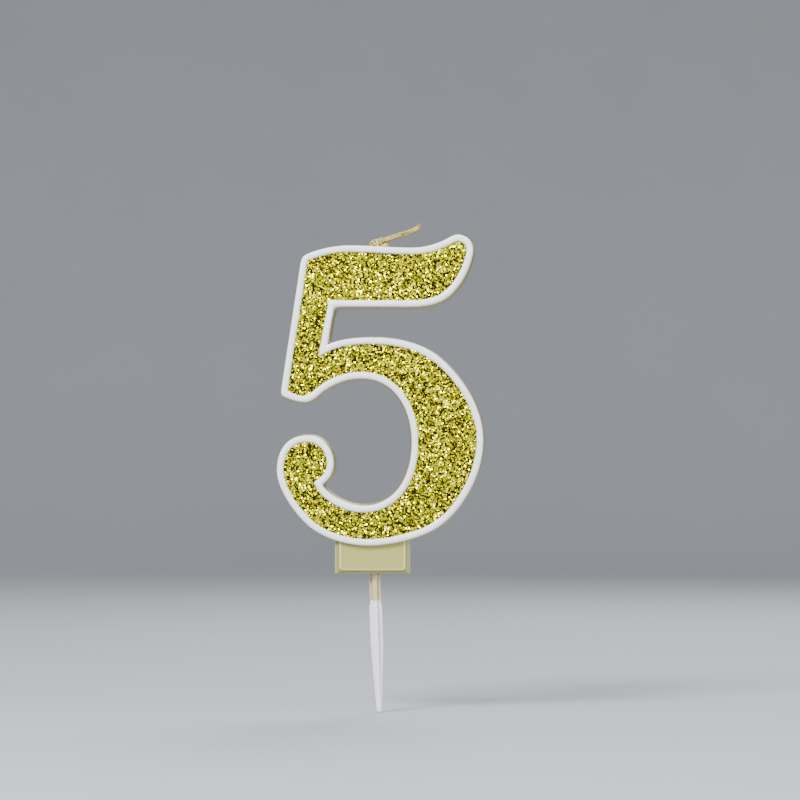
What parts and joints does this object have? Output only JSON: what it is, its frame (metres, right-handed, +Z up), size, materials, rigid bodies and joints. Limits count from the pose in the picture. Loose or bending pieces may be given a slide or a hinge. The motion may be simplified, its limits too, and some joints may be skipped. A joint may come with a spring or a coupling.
{
  "type": "number birthday candle with pick",
  "caption": "Numeral five cake candle: wax figure with a raised border and glitter face, wax foot, bent wick, and a cross-shaped plastic pick that pushes into the cake.",
  "frame": {"origin": "where the pick's axis crosses the underside of the foot, midway through the candle's thickness", "axes": "+Z up, the glitter face looks toward -Y, +X to the right of the figure as it is read"},
  "size_m": [0.045, 0.009, 0.1064],
  "materials": {
    "wax_gold": "paraffin wax with a satin gold coat",
    "wax_pearl": "paraffin wax with a pale pearl gold coat, satin",
    "border_white": "white wax paint, smooth, low gloss",
    "glue_clear": "dried clear glue over gold wax",
    "glitter_gold": "metallised gold film flakes, sparkling",
    "wick_cotton": "plaited cotton, waxed and gold lacquered",
    "wax_mound": "lumpy wax with loose glitter",
    "pick_white": "injection-moulded white plastic",
    "lacquer_pearl": "thin pearl gold lacquer"
  },
  "bodies": {
    "pick": {"pick": "pick_white", "pick_film": "lacquer_pearl"},
    "candle": {"numeral_casting": "wax_gold", "foot_block": "wax_pearl", "border_bead": "border_white", "glue_bed": "glue_clear", "glitter_crust": "glitter_gold", "wick_core": "wick_cotton", "wick_collar": "wax_mound"},
    "wick": {"wick_tip": "wick_cotton"}
  },
  "joints": [
    {"name": "pick_socket_slide", "type": "slide", "parent": "pick", "child": "candle", "axis": [-0.0349, 0, 0.9994], "range_m": [0, 0.0105]},
    {"name": "wick_bend", "type": "hinge", "parent": "candle", "child": "wick", "pos_m": [0.0026, 0, 0.0729], "axis": [0, -1, 0], "range_deg": [-12, 66]}
  ]
}
